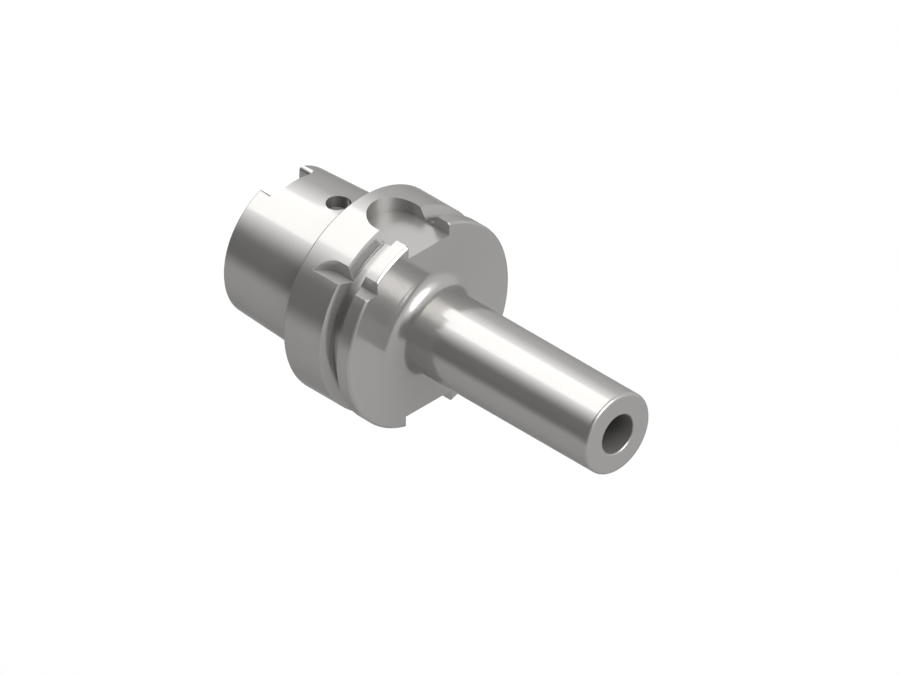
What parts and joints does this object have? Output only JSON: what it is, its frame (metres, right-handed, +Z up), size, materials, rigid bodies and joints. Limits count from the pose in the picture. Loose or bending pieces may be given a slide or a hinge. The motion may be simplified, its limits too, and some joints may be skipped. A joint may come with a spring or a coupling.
{
  "type": "morse taper adapter",
  "caption": "Turned steel adapter with a hollow taper shank, a keyed flange with a gripper groove, and a slim extension with a small self-holding taper socket.",
  "frame": {"origin": "centre of the flange face that seats on the spindle nose, where the tool axis crosses it", "axes": "+X along the tool axis towards the socket mouth, +Z up through the narrower keyway, +Y to the left when looking along +X"},
  "size_m": [0.132, 0.063, 0.063],
  "materials": {
    "body_steel": "finely turned and ground, satin to semi-gloss"
  },
  "bodies": {
    "root": {"adapter_body": "body_steel"}
  },
  "joints": []
}
